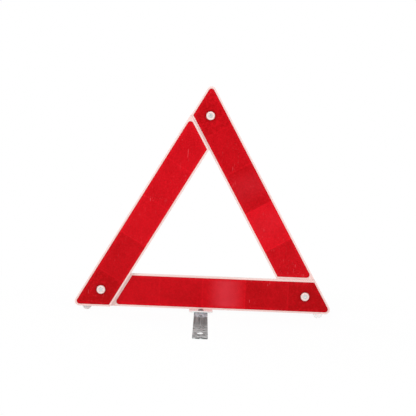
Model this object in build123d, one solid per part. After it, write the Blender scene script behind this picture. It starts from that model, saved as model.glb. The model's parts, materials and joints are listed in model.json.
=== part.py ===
"""Folding warning triangle: three reflector arms on rivets, with a swivelling steel stand.

Millimetres. X runs along the bottom arm, Y to the back, Z up. The origin is on the
ground, under the middle of the triangle, in line with the stand's rivet.

Each arm has a head, whose pivot disc shows through the reflector, and a tongue, which
the next arm's head covers. The arms lie in three parallel layers, so that they stack
flat on the bottom arm when they fold: the left arm in front, the right arm behind.
"""
from build123d import *
import os
from math import cos, radians, sin, sqrt

# Triangle
TIP_TO_TIP = 285.0          # across the two rounded bottom corners
ARM_WIDTH = 37.3
ARM_THICKNESS = 4.2
LAYER_GAP = 0.3             # air between two stacked arms
TIP_RADIUS = 5.0            # the sharp corner of each head
GROUND_CLEARANCE = 5.0      # from the ground to the bottom arm's lower edge

# Arm frames
RIM = 2.0                   # white border around a reflector
CUT_RIM = 2.2               # white border where the neighbour's head begins
FLOOR = 1.4                 # wall behind the reflector
TONGUE_INSET = 1.0          # how far a tongue stays inside the head that covers it
TONGUE_RADIUS = 6.0
OPEN_END_GAP = 0.15         # between the left arm's open end and the right arm's head
EDGE_ROUND = 0.4
BACK_PANEL_DEPTH = 0.4      # shallow panels on an arm's back, between its ribs
BACK_PANEL_MARGIN = 5.5
BACK_PANEL_START = 16.0     # from the head pivot
BACK_PANEL_RADIUS = 2.5
BACK_RIB = 3.0
BACK_PANELS = 4

# Reflectors
LENS_THICKNESS = 2.5
LENS_CLEARANCE = 0.1
LENS_TIP_RADIUS = 3.4
LENS_HOLE_CLEARANCE = 0.4   # round a pivot disc
LENS_EDGE = 0.4

# Pivots
DISC_RADIUS = 4.7
DISC_RECESS = 0.1           # below the arm's front face
DISC_EDGE = 0.3
BARREL_RADIUS = 3.5
RUNNING_FIT = 0.05          # radial, and end play
SEAT_FIT = 0.03             # radial, between pieces that don't turn on each other
RIVET_HEAD_RADIUS = 2.5
RIVET_HEAD_HEIGHT = 0.8
RIVET_HEAD_SINK = 0.25      # rivet head below the disc's face
SHANK_RADIUS = 1.75
WASHER_RADIUS = 6.0
WASHER_THICKNESS = 0.6
CLINCH_RADIUS = 3.2
CLINCH_HEIGHT = 0.7
REAR_SINK = 0.15            # rivet end below the covered tongue's back face
BARB_RADIUS = 3.9
BARB_LENGTH = 1.6
BARB_TAPER = 0.9
SNAP_SLOT = 1.0

# Feet
FOOT_SPACING = 259.0
FOOT_WIDTH = 10.0
FOOT_THICKNESS = 3.6
FOOT_PEG_RADIUS = 1.2
FOOT_PEG_LENGTH = 1.4

# Stand
STAND_OFFSET = -2.0         # stand's middle from the triangle's middle
FACE_TO_RIVET = 4.5         # bottom arm's front face to the stand's rivet
STRIP_LENGTH = 196.0
STRIP_WIDTH = 15.0
STRIP_THICKNESS = 1.0
STRIP_CENTRE_HALF = 9.0     # half of the flat middle
STRIP_STEP_END = 20.0       # where the joggle ends
STRIP_LEG_END = 62.0        # where the flat foot begins
STRIP_LEG_RISE = 0.35
STRIP_CORNER = 1.0
BEAD_START = 24.0
BEAD_END = 56.0
BEAD_WIDTH = 3.0
BEAD_HEIGHT = 0.5
PEG_HOLE_RADIUS = 2.65
PEG_HOLE_INSET = 16.5
STAND_SHANK_RADIUS = 2.0
STAND_HEAD_RADIUS = 3.3
STAND_HEAD_HEIGHT = 1.5
STAND_FOOT_HEAD_RADIUS = 3.6
STAND_FOOT_HEAD_HEIGHT = 0.7
STAND_FOOT_HEAD_LIFT = 1.2  # rivet's lower head above the ground
STAND_WASHER_RADIUS = 5.0
STAND_WASHER_THICKNESS = 0.5
BRACKET_WIDTH = 26.0
BRACKET_RADIUS = 2.0
BRACKET_MARGIN = 5.0        # flange in front of the rivet's axis
BRACKET_TAB_HEIGHT = 10.0
BRACKET_TAB_THICKNESS = 0.8
STAKE_RADIUS = 1.3
STAKE_SPACING = 15.0

# Worked out from the values above
HALF = ARM_WIDTH / 2
SHARP_SIDE = TIP_TO_TIP + 2 * TIP_RADIUS * (sqrt(3) - 1)
PITCH = SHARP_SIDE - 2 * sqrt(3) * HALF
POCKET_HALF = HALF - RIM
CUT_END = -(HALF + CUT_RIM)
TONGUE_END = HALF - TONGUE_INSET
OPEN_END = -(HALF + OPEN_END_GAP)
PIVOT_Z = GROUND_CLEARANCE + HALF
APEX_Z = PIVOT_Z + PITCH * sqrt(3) / 2
LAYER = ARM_THICKNESS + LAYER_GAP
BOTTOM_BACK_Y = FACE_TO_RIVET + ARM_THICKNESS
BARREL_END = -(LAYER - REAR_SINK - CLINCH_HEIGHT - WASHER_THICKNESS)
COUNTERBORE = LAYER + BARREL_END + RUNNING_FIT
STRIP_CENTRE_Z = STAND_FOOT_HEAD_LIFT + STAND_FOOT_HEAD_HEIGHT + RUNNING_FIT
STRIP_TOP_Z = STRIP_CENTRE_Z + STRIP_THICKNESS
FLANGE_Z = STRIP_TOP_Z + RUNNING_FIT + STAND_WASHER_THICKNESS
COS30 = cos(radians(30))


def arm_plane(pivot_x, pivot_z, direction, back_y):
    """Local frame of an arm: x along it from its head pivot, y outwards, z to the front."""
    along = (cos(radians(direction)), 0, sin(radians(direction)))
    return Plane(origin=(pivot_x, back_y, pivot_z), x_dir=along, z_dir=(0, -1, 0))


BOTTOM = arm_plane(PITCH / 2, PIVOT_Z, 180, BOTTOM_BACK_Y)
LEFT = arm_plane(-PITCH / 2, PIVOT_Z, 60, BOTTOM_BACK_Y - LAYER)
RIGHT = arm_plane(0, APEX_Z, -60, BOTTOM_BACK_Y + LAYER)


def cylinder(radius, low, high, x=0.0, y=0.0):
    """Upright cylinder between two heights."""
    return Pos(x, y, low) * Cylinder(radius, high - low, align=(Align.CENTER, Align.CENTER, Align.MIN))


def block(low, high):
    """Box between two corners."""
    size = [high[i] - low[i] for i in range(3)]
    return Pos(*low) * Box(*size, align=(Align.MIN, Align.MIN, Align.MIN))


def arm_outline(half, end, head_radius, end_radius):
    """Bar with a slanted head and a slanted far end; end is measured from the far pivot."""
    corners = [
        (-half / sqrt(3), -half),
        (PITCH + (end - half / 2) / COS30, -half),
        (PITCH + (end + half / 2) / COS30, half),
        (-half * sqrt(3), half),
    ]
    outline = Polygon(*corners, align=None)
    outline = fillet(outline.vertices().sort_by_distance((*corners[3], 0))[0], head_radius)
    if end_radius > 0:
        outline = fillet(outline.vertices().sort_by_distance((*corners[2], 0))[0], end_radius)
    return outline


def upper_edges(solid):
    """Outer edges of the front face."""
    return solid.faces().sort_by(Axis.Z)[-1].outer_wire().edges()


def back_panels():
    """Shallow recesses in an arm's back, in line, with ribs between them."""
    end = PITCH - HALF - CUT_RIM - BACK_PANEL_MARGIN
    pitch = (end - BACK_PANEL_START + BACK_RIB) / BACK_PANELS
    width = ARM_WIDTH - 2 * BACK_PANEL_MARGIN
    panel = RectangleRounded(pitch - BACK_RIB, width, BACK_PANEL_RADIUS)
    cuts = []
    for index in range(BACK_PANELS):
        middle = BACK_PANEL_START + (index + 0.5) * pitch - BACK_RIB / 2
        cuts.append(Pos(middle, 0, 0) * extrude(panel, BACK_PANEL_DEPTH))
    return cuts


def arm_frame(has_tongue):
    """White tray of an arm, in its local frame."""
    end = TONGUE_END if has_tongue else OPEN_END
    end_radius = TONGUE_RADIUS if has_tongue else 0
    tray = extrude(arm_outline(HALF, end, TIP_RADIUS, end_radius), ARM_THICKNESS)
    tray = chamfer(upper_edges(tray), EDGE_ROUND)
    pocket = arm_outline(POCKET_HALF, CUT_END, LENS_TIP_RADIUS, LENS_TIP_RADIUS)
    tray -= Pos(0, 0, FLOOR) * extrude(pocket, ARM_THICKNESS)
    for panel in back_panels():
        tray -= panel
    tray -= cylinder(BARREL_RADIUS + SEAT_FIT, -1, ARM_THICKNESS)
    if has_tongue:
        tray -= cylinder(BARREL_RADIUS + RUNNING_FIT, -1, ARM_THICKNESS + 1, x=PITCH)
        tray -= cylinder(WASHER_RADIUS + LAYER_GAP, -1, COUNTERBORE, x=PITCH)
    return tray


def bottom_frame():
    """The bottom arm's tray also seats the feet and the stand's bracket."""
    tray = arm_frame(has_tongue=True)
    for x in (-FOOT_SPACING / 2, FOOT_SPACING / 2):
        hole = Cylinder(FOOT_PEG_RADIUS + SEAT_FIT, FOOT_PEG_LENGTH + LENS_CLEARANCE,
                        align=(Align.CENTER, Align.CENTER, Align.MIN))
        tray -= Pos(PITCH / 2 - x, HALF, ARM_THICKNESS / 2) * Rot(90, 0, 0) * hole
    middle = PITCH / 2 - STAND_OFFSET
    low = (middle - BRACKET_WIDTH / 2 - SEAT_FIT, HALF - BRACKET_TAB_HEIGHT - SEAT_FIT, -1)
    high = (middle + BRACKET_WIDTH / 2 + SEAT_FIT, HALF + 1, BRACKET_TAB_THICKNESS)
    tray -= block(low, high)
    for side in (-1, 1):
        x = middle + side * STAKE_SPACING / 2
        tray += cylinder(STAKE_RADIUS, 0, FLOOR, x=x, y=HALF - BRACKET_TAB_HEIGHT / 2)
    return tray


def reflector():
    """Red prismatic plate that lies in a tray."""
    outline = arm_outline(POCKET_HALF - LENS_CLEARANCE, CUT_END - LENS_CLEARANCE,
                          LENS_TIP_RADIUS, LENS_TIP_RADIUS)
    plate = Pos(0, 0, FLOOR) * extrude(outline, LENS_THICKNESS)
    plate = chamfer(upper_edges(plate), LENS_EDGE)
    return plate - cylinder(DISC_RADIUS + LENS_HOLE_CLEARANCE, 0, ARM_THICKNESS)


def pivot_disc(barrel_end):
    """White disc on the tray's floor, with its barrel through the floor."""
    disc = cylinder(DISC_RADIUS, FLOOR, ARM_THICKNESS - DISC_RECESS)
    disc = chamfer(upper_edges(disc), DISC_EDGE)
    disc += cylinder(BARREL_RADIUS, barrel_end, FLOOR)
    head_floor = ARM_THICKNESS - DISC_RECESS - RIVET_HEAD_SINK - RIVET_HEAD_HEIGHT
    disc -= cylinder(RIVET_HEAD_RADIUS + SEAT_FIT, head_floor, ARM_THICKNESS)
    return disc - cylinder(SHANK_RADIUS + SEAT_FIT, barrel_end - 1, ARM_THICKNESS)


def rivet(shank_end):
    """Steel rivet with a hollow end, its head sunk in the disc."""
    top = ARM_THICKNESS - DISC_RECESS - RIVET_HEAD_SINK
    body = cylinder(RIVET_HEAD_RADIUS, top - RIVET_HEAD_HEIGHT, top)
    body = chamfer(upper_edges(body), RIVET_HEAD_HEIGHT / 3)
    body += cylinder(SHANK_RADIUS, shank_end, top - RIVET_HEAD_HEIGHT)
    return body - cylinder(SHANK_RADIUS / 2, top - RIVET_HEAD_HEIGHT / 2, top)


def pivot_rivet():
    """Rivet whose far end is spread over the washer."""
    low = BARREL_END - WASHER_THICKNESS
    return rivet(low) + cylinder(CLINCH_RADIUS, low - CLINCH_HEIGHT, low)


def pivot_washer():
    """Steel washer in the covered tongue's counterbore."""
    low = BARREL_END - WASHER_THICKNESS
    return cylinder(WASHER_RADIUS, low, BARREL_END) - cylinder(SHANK_RADIUS + SEAT_FIT, low, BARREL_END)


def snap_stud():
    """Disc of the top corner, with a slit barb behind the arm."""
    barb_start = -LAYER - RUNNING_FIT
    barb_end = barb_start - BARB_LENGTH
    stud = pivot_disc(barb_start)
    barb = Cone(BARB_RADIUS - BARB_TAPER, BARB_RADIUS, BARB_LENGTH,
                align=(Align.CENTER, Align.CENTER, Align.MIN))
    stud += Pos(0, 0, barb_end) * barb
    stud -= cylinder(SHANK_RADIUS + SEAT_FIT, barb_end - 1, FLOOR)
    low = (-BARB_RADIUS - 1, -SNAP_SLOT / 2, barb_end - 1)
    high = (BARB_RADIUS + 1, SNAP_SLOT / 2, -LAYER_GAP)
    return stud - block(low, high)


def foot(x):
    """Half-round foot with a peg in the bottom arm's lower edge."""
    left = (-FOOT_WIDTH / 2, 0)
    right = (FOOT_WIDTH / 2, 0)
    face = make_face([Line(left, right), SagittaArc(right, left, GROUND_CLEARANCE)])
    nub = extrude(face, FOOT_THICKNESS / 2, both=True)
    seat = (x, BOTTOM_BACK_Y - ARM_THICKNESS / 2, GROUND_CLEARANCE)
    upright = Plane(origin=seat, z_dir=(0, -1, 0), x_dir=(1, 0, 0))
    return upright * nub + Pos(*seat) * cylinder(FOOT_PEG_RADIUS, 0, FOOT_PEG_LENGTH)


def stand_bracket():
    """Plastic flange under the bottom arm, with a tab let into the arm's back."""
    depth = BRACKET_MARGIN + BOTTOM_BACK_Y
    plate = extrude(RectangleRounded(BRACKET_WIDTH, 2 * depth, BRACKET_RADIUS), GROUND_CLEARANCE - FLANGE_Z)
    plate = Pos(STAND_OFFSET, depth - BRACKET_MARGIN, FLANGE_Z) * plate
    low_x = STAND_OFFSET - BRACKET_WIDTH / 2
    high_x = STAND_OFFSET + BRACKET_WIDTH / 2
    plate -= block((low_x - 1, BOTTOM_BACK_Y, 0), (high_x + 1, 2 * depth, GROUND_CLEARANCE + 1))
    tab_y = BOTTOM_BACK_Y - BRACKET_TAB_THICKNESS
    plate += block((low_x, tab_y, FLANGE_Z), (high_x, BOTTOM_BACK_Y, GROUND_CLEARANCE + BRACKET_TAB_HEIGHT))
    for side in (-1, 1):
        hole = Cylinder(STAKE_RADIUS + SEAT_FIT, 4 * BRACKET_TAB_THICKNESS, rotation=(90, 0, 0))
        x = STAND_OFFSET + side * STAKE_SPACING / 2
        plate -= Pos(x, BOTTOM_BACK_Y, GROUND_CLEARANCE + BRACKET_TAB_HEIGHT / 2) * hole
    return plate - cylinder(STAND_SHANK_RADIUS + SEAT_FIT, 0, GROUND_CLEARANCE, x=STAND_OFFSET)


def strip_profile():
    """Side view of the strip: a flat middle, a joggle, a sloping leg and a flat foot."""
    path = [
        (STRIP_CENTRE_HALF, STRIP_CENTRE_Z),
        (STRIP_STEP_END, STRIP_LEG_RISE),
        (STRIP_LEG_END, 0),
        (STRIP_LENGTH / 2, 0),
    ]
    underside = [(-y, z) for y, z in reversed(path)] + path
    top = [(y, z + STRIP_THICKNESS) for y, z in reversed(underside)]
    return Polygon(*underside, *top, align=None)


def stand_strip():
    """Steel strip that turns on the stand's rivet."""
    side_view = Plane(origin=(STAND_OFFSET, 0, 0), x_dir=(0, 1, 0), z_dir=(1, 0, 0))
    strip = side_view * extrude(strip_profile(), STRIP_WIDTH / 2, both=True)
    strip = fillet(strip.edges().filter_by(Axis.Z).group_by(Axis.Y)[0], STRIP_CORNER)
    strip = fillet(strip.edges().filter_by(Axis.Z).group_by(Axis.Y)[-1], STRIP_CORNER)
    bead = SlotCenterToCenter(BEAD_END - BEAD_START, BEAD_WIDTH, rotation=90)
    bead = extrude(bead, STRIP_THICKNESS / 2 + BEAD_HEIGHT)
    bead = fillet(upper_edges(bead), BEAD_HEIGHT / 2)
    bead_middle = (BEAD_START + BEAD_END) / 2
    slope = STRIP_LEG_RISE / (STRIP_LEG_END - STRIP_STEP_END)
    bead_z = slope * (STRIP_LEG_END - bead_middle) + STRIP_THICKNESS / 2
    for side in (-1, 1):
        strip += Pos(STAND_OFFSET, side * bead_middle, bead_z) * bead
        strip -= cylinder(PEG_HOLE_RADIUS, -1, 2 * STRIP_TOP_Z,
                          x=STAND_OFFSET, y=side * (STRIP_LENGTH / 2 - PEG_HOLE_INSET))
    return strip - cylinder(STAND_SHANK_RADIUS + RUNNING_FIT, -1, 2 * STRIP_TOP_Z, x=STAND_OFFSET)


def stand_rivet():
    """Rivet that holds the strip under the flange."""
    low = STAND_FOOT_HEAD_LIFT
    body = cylinder(STAND_FOOT_HEAD_RADIUS, low, low + STAND_FOOT_HEAD_HEIGHT)
    body += cylinder(STAND_SHANK_RADIUS, low, GROUND_CLEARANCE)
    radius = (STAND_HEAD_RADIUS ** 2 + STAND_HEAD_HEIGHT ** 2) / (2 * STAND_HEAD_HEIGHT)
    dome = Pos(0, 0, GROUND_CLEARANCE + STAND_HEAD_HEIGHT - radius) * Sphere(radius)
    dome &= cylinder(radius, GROUND_CLEARANCE, GROUND_CLEARANCE + STAND_HEAD_HEIGHT)
    return Pos(STAND_OFFSET, 0, 0) * (body + dome)


def stand_washer():
    """Washer between the strip and the flange."""
    low = FLANGE_Z - STAND_WASHER_THICKNESS
    ring = cylinder(STAND_WASHER_RADIUS, low, FLANGE_Z)
    ring -= cylinder(STAND_SHANK_RADIUS + SEAT_FIT, low, FLANGE_Z)
    return Pos(STAND_OFFSET, 0, 0) * ring


nodes = {
    "bottom_arm_frame": BOTTOM * bottom_frame(),
    "left_arm_frame": LEFT * arm_frame(has_tongue=False),
    "right_arm_frame": RIGHT * arm_frame(has_tongue=True),
    "bottom_reflector": BOTTOM * reflector(),
    "left_reflector": LEFT * reflector(),
    "right_reflector": RIGHT * reflector(),
    "top_snap_stud": RIGHT * snap_stud(),
    "top_stud_rivet": RIGHT * rivet(-LAYER),
    "left_foot": foot(-FOOT_SPACING / 2),
    "right_foot": foot(FOOT_SPACING / 2),
    "stand_bracket": stand_bracket(),
    "stand_strip": stand_strip(),
    "stand_rivet": stand_rivet(),
    "stand_washer": stand_washer(),
}
for side, head in (("left", LEFT), ("right", BOTTOM)):
    nodes[side + "_pivot_disc"] = head * pivot_disc(BARREL_END)
    nodes[side + "_pivot_rivet"] = head * pivot_rivet()
    nodes[side + "_pivot_washer"] = head * pivot_washer()

os.makedirs("parts", exist_ok=True)
for name, solid in nodes.items():
    solid.label = name
    export_step(solid, "parts/" + name + ".step")
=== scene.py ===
"""Finish of a folding warning triangle: prismatic red plates in white trays, on a zinc strip.

The CAD frame gives every place. Lengths are in millimetres until a mesh is placed, and in
metres after that, as in the finishes and on the stage. An arm's own frame runs along x from
its head pivot, with y towards the outside of the triangle, z towards the front, and z = 0 on
the arm's back.
"""
import json
from math import cos, hypot, pi, radians, sin, sqrt, tan

import bmesh
import bpy
from mathutils import Matrix, Vector


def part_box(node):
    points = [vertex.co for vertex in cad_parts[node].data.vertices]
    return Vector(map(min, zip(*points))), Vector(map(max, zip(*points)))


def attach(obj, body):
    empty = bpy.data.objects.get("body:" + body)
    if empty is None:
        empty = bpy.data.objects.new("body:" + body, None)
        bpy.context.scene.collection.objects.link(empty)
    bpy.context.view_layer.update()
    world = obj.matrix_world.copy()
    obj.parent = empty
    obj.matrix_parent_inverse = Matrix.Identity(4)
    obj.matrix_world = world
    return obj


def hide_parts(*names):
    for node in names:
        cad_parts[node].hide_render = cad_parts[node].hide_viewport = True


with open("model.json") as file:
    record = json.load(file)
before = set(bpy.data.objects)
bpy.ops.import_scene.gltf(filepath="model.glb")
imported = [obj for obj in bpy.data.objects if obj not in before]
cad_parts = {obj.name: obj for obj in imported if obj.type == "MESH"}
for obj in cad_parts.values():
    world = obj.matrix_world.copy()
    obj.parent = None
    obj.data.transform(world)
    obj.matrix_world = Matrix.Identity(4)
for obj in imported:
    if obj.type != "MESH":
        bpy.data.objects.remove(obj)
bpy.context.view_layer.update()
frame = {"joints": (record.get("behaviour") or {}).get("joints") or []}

MM = 0.001

# Meshes
MERGE_DISTANCE = 0.003
SLIVER_LENGTH = 0.0005
LEAST_RADIUS = 0.02
CUT_SPARE = 1.0
SMALL_EDGE = 0.12
SLANT = cos(pi / 6)

# Trays
RIM = 2.0
CUT_RIM = 2.2
FLOOR = 1.4
TIP_RADIUS = 5.0
TONGUE_RADIUS = 6.0
SHARP_RADIUS = 0.5
TONGUE_INSET = 1.0
OPEN_END_GAP = 0.15
BACK_EDGE = 0.25
FRONT_EDGE = 0.45
LIP_EDGE = 0.25

# Backs of the trays
PANELS = 4
PANEL_DEPTH = 0.4
PANEL_START = 16.0
PANEL_MARGIN = 5.5
PANEL_RIB = 3.0
PANEL_RADIUS = 2.5
PANEL_DRAFT = 0.15
EJECTOR_RADIUS = 2.2
EJECTOR_DEPTH = 0.08
EJECTOR_SHARES = (0.22, 0.78)
HOLE_CHAMFER = 0.2
TONGUE_HOLE_RADIUS = 3.55
WASHER_RECESS_RADIUS = 6.3
WASHER_RECESS_DEPTH = 1.5
SEAT_FIT = 0.03

# Reflectors
PLATE_THICKNESS = 2.5
PLATE_CLEARANCE = 0.03
PLATE_TIP_RADIUS = 3.4
PLATE_HOLE_RADIUS = 5.1
PLATE_EDGE = 0.2
BORDER = 1.0
GROOVE_WIDTH = 0.3
GROOVE_DEPTH = 0.15
GROOVE_DRAFT = 0.08
FIELD_MARGIN = 1.6
FIELD_HOLE_MARGIN = 1.2
CELL_SIDE = 2.4
CELL_DEPTH = 0.1
LOW_CELL_SHARE = 0.75
CELL_SPREAD = 0.97
CELL_SINK = 0.02
SEAM_WIDTH = 0.35
BLOCK_LENGTH = 48.0
FIRST_SEAM = 19.0
BLOCKS = 5

# Pivots
DISC_RADIUS = 4.7
DISC_TOP = 4.1
DISC_EDGE = 0.3
BARREL_RADIUS = 3.5
HEAD_RADIUS = 2.5
HEAD_SINK = 0.25
HEAD_HEIGHT = 0.8
SHANK_RADIUS = 1.75
DIMPLE_RADIUS = 0.85
DIMPLE_DEPTH = 0.4
DIMPLE_FLOOR_SHARE = 0.85
WASHER_RADIUS = 6.0
WASHER_THICKNESS = 0.6
WASHER_EDGE = 0.1
CLINCH_RADIUS = 3.2
CLINCH_HEIGHT = 0.7
CLINCH_MOUTH_RADIUS = SHANK_RADIUS * 0.75
CLINCH_HOLLOW_RADIUS = SHANK_RADIUS / 2
CLINCH_HOLLOW_DEPTH = 0.35
BARB_RADIUS = 3.9
BARB_TIP_RADIUS = 3.0
BARB_TIP_EDGE = 0.3
BARB_LENGTH = 1.6
BARB_BORE_CHAMFER = 0.2
SNAP_SLOT = 1.0
SNAP_SLOT_ROOT = -0.3
SNAP_RIVET_EDGE = 0.2

# Stand
STRIP_THICKNESS = 1.0
STRIP_CENTRE_HALF = 9.0
STRIP_STEP_END = 20.0
STRIP_LEG_END = 62.0
STRIP_LEG_RISE = 0.35
STRIP_LEG_BLEND = 6.0
STRIP_CORNER = 1.0
STRIP_CORNER_STEPS = 6
STRIP_EDGE = 0.14
STRIP_COLUMNS = 40
STRIP_STATION = 1.5
BEAD_START = 24.0
BEAD_END = 56.0
BEAD_FADE = 2.0
BEAD_HALF_WIDTH = 1.7
BEAD_HEIGHT = 0.5
PEG_HOLE_RADIUS = 2.65
PEG_HOLE_INSET = 16.5
PIVOT_HOLE_RADIUS = 2.05
FLANGE_RADIUS = 2.0
FLANGE_EDGE = 0.25
TAB_THICKNESS = 0.8
TAB_EDGE = 0.15
TAB_LAP = 0.3
STAKE_RADIUS = 1.3
STAKE_SPACING = 15.0
STAKE_HOLE_CHAMFER = 0.1
BRACKET_LEVEL_SLACK = 0.05
STAND_SHANK_RADIUS = 2.0
STAND_HEAD_RADIUS = 3.3
STAND_HEAD_HEIGHT = 1.5
STAND_DOME_STEPS = 8
STAND_FOOT_HEAD_RADIUS = 3.6
STAND_FOOT_HEAD_HEIGHT = 0.7
STAND_FOOT_HEAD_EDGE = 0.25
FOOT_EDGE = 0.5
FOOT_STEPS = 24

# Colours, in linear red, green and blue
WHITE_CLEAN, WHITE_CLOUDED = (0.90, 0.87, 0.86), (0.84, 0.81, 0.80)
WHITE_DUSTY = (0.76, 0.73, 0.715)
WHITE_RED_BOUNCE = (0.82, 0.575, 0.54)
RED_DIM, RED_LIT = (0.385, 0.0008, 0.0030), (0.76, 0.0060, 0.0150)
RED_HOLE_SHADE = (0.26, 0.0008, 0.0025)
RED_GLARE = (0.66, 0.040, 0.058)
RED_SCUFFED = (0.80, 0.16, 0.18)
LEG_DARK, LEG_LIGHT = (0.092, 0.105, 0.105), (0.335, 0.370, 0.370)
SCUFF_DARK, SCUFF_LIGHT = (0.082, 0.090, 0.090), (0.63, 0.67, 0.67)
MIDDLE_DARK, MIDDLE_LIGHT = (0.380, 0.430, 0.455), (0.59, 0.655, 0.70)
MIDDLE_DARK_PATCH = (0.165, 0.19, 0.20)
PUNCHED_STEEL_HIGHLIGHT = (0.90, 0.91, 0.91)
EDGE_DARKENING = (0.09, 0.09, 0.09)
RIVET_DARK, RIVET_LIGHT = (0.60, 0.62, 0.61), (0.86, 0.88, 0.86)
TARNISH_DARK, TARNISH_LIGHT = (0.17, 0.165, 0.165), (0.36, 0.35, 0.35)
DOME_HIGHLIGHT = (0.42, 0.41, 0.41)
MILKY_CLEAR, MILKY_CLOUDED = (0.87, 0.83, 0.82), (0.78, 0.74, 0.73)
MILKY_RED_BOUNCE = (0.84, 0.54, 0.50)
GROUND_GREY = (0.88, 0.88, 0.88)
PURE_WHITE = (1, 1, 1)

# Bands over which a plate's painted light and finish change, in an arm's own frame
LIT_EDGE = (0.3, 4.2)
HOLE_SHADE_RING = (6.2, 8.4)
HEAD_MOTTLE = (FIRST_SEAM - 2, FIRST_SEAM + 2)

# Bands over which the other finishes and painted light change, in metres
CLEAN_MIDDLE = (0.0150, 0.0200)
SCUFFED_ENDS = (0.042, 0.062)
STRIP_EDGE_DARKENING = (0.0063, 0.0073)
DOME_HIGHLIGHT_BAND = (0.0006, 0.0022)
BRACKET_RED_BOUNCE = (-0.0095, 0.0038)
BRACKET_RED_BOUNCE_END = 0.0009
GROUND_FADE = (0.12, 0.35)

# Stage, in metres, watts and degrees
GROUND_RADIUS = 4.0
GROUND_GLOW = 0.95
SKY_LIGHT = 0.58
CAMERA_LENS = 51.9
CAMERA_SENSOR = 36
CAMERA_PLACE = (-0.00302, -0.65916, 0.15784)
CAMERA_TURN = (86.637, -2.359, -0.233)
LAMP_AIM = (0, 0, 0.1)
LAMPS = (("key", (-0.9, -1.2, 1.3), 0.9, 15.5),
         ("fill", (1.2, -0.9, 0.9), 1.2, 9.5),
         ("back", (-1.3, 0.9, 1.0), 0.5, 6))


# -------------------- shader maths

class Value:
    """A number in a node tree that can be used in arithmetic."""

    def __init__(self, tree, socket):
        self.tree = tree
        self.socket = socket

    def _math(self, operation, first, second):
        return self.tree.node("ShaderNodeMath", {"operation": operation}, {0: first, 1: second}).value(0)

    def __add__(self, other):
        return self._math("ADD", self, other)

    __radd__ = __add__

    def __sub__(self, other):
        return self._math("SUBTRACT", self, other)

    def __rsub__(self, other):
        return self._math("SUBTRACT", other, self)

    def __mul__(self, other):
        return self._math("MULTIPLY", self, other)

    __rmul__ = __mul__

    def __truediv__(self, other):
        return self._math("DIVIDE", self, other)

    def __pow__(self, other):
        return self._math("POWER", self, other)

    def size(self):
        """The value without its sign."""
        return self._math("ABSOLUTE", self, 0)

    def fraction(self):
        return self._math("FRACT", self, 0)

    def least(self, other):
        return self._math("MINIMUM", self, other)

    def clamped(self):
        return self.tree.node("ShaderNodeClamp", {}, {0: self}).value(0)

    def ramp(self, low, high, to_low=0.0, to_high=1.0):
        """Smooth step between two values."""
        settings = {"interpolation_type": "SMOOTHSTEP"}
        sockets = {0: self, 1: low, 2: high, 3: to_low, 4: to_high}
        return self.tree.node("ShaderNodeMapRange", settings, sockets).value(0)


class Node:
    """A node whose outputs are read as values."""

    def __init__(self, tree, node):
        self.tree = tree
        self.node = node

    def value(self, output):
        return Value(self.tree, self.node.outputs[output])


class Tree:
    """A node tree, emptied and then built from values."""

    def __init__(self, tree):
        self.nodes = tree.nodes
        self.links = tree.links
        self.nodes.clear()

    def node(self, kind, settings=None, sockets=None):
        """Adds a node: its settings first, then the values or links of its sockets."""
        made = self.nodes.new(kind)
        for key, setting in (settings or {}).items():
            setattr(made, key, setting)
        for key, given in (sockets or {}).items():
            self.put(made.inputs[key], given)
        return Node(self, made)

    def put(self, socket, given):
        """Links a value into a socket, or sets a constant on it."""
        if isinstance(given, Value):
            self.links.new(given.socket, socket)
        elif isinstance(given, tuple) and socket.type == "RGBA" and len(given) == 3:
            socket.default_value = (*given, 1)
        else:
            socket.default_value = given


class Finish(Tree):
    """The node tree of one material."""

    def __init__(self, name):
        self.material = bpy.data.materials.new(name)
        self.material.use_nodes = True
        super().__init__(self.material.node_tree)

    def mix(self, factor, first, second):
        """Mixes two colours."""
        sockets = {"Factor": factor, 6: first, 7: second}
        return self.node("ShaderNodeMix", {"data_type": "RGBA"}, sockets).value(2)

    def place(self, scale=(1, 1, 1), turn=(0, 0, 0), move=(0, 0, 0)):
        """Object coordinates in metres, moved, turned and scaled."""
        coordinates = self.node("ShaderNodeTexCoord").value("Object")
        sockets = {"Vector": coordinates, "Location": move, "Rotation": turn, "Scale": scale}
        return self.node("ShaderNodeMapping", {"vector_type": "POINT"}, sockets).value(0)

    def noise(self, vector, scale, detail=3.0, roughness=0.5, distortion=0.0):
        """Cloudy noise, from 0 to 1."""
        sockets = {"Vector": vector, "Scale": scale, "Detail": detail, "Roughness": roughness,
                   "Distortion": distortion}
        return self.node("ShaderNodeTexNoise", {}, sockets).value(0)

    def axes(self, vector):
        """The three coordinates of a vector."""
        split = self.node("ShaderNodeSeparateXYZ", {}, {0: vector})
        return split.value(0), split.value(1), split.value(2)

    def attribute(self, name):
        """A number stored on the mesh."""
        return self.node("ShaderNodeAttribute", {"attribute_name": name}).value("Fac")

    def bump(self, height, distance, strength=1.0):
        """A normal that follows small heights."""
        sockets = {"Height": height, "Distance": distance, "Strength": strength}
        return self.node("ShaderNodeBump", {}, sockets).value(0)

    def surface(self, kind, sockets):
        """Closes the tree with a shader and returns the material."""
        shader = self.node(kind, {}, sockets).value(0)
        self.node("ShaderNodeOutputMaterial", {}, {"Surface": shader})
        return self.material

    def principled(self, sockets):
        """Closes the tree with a principled surface."""
        return self.surface("ShaderNodeBsdfPrincipled", sockets)


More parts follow.
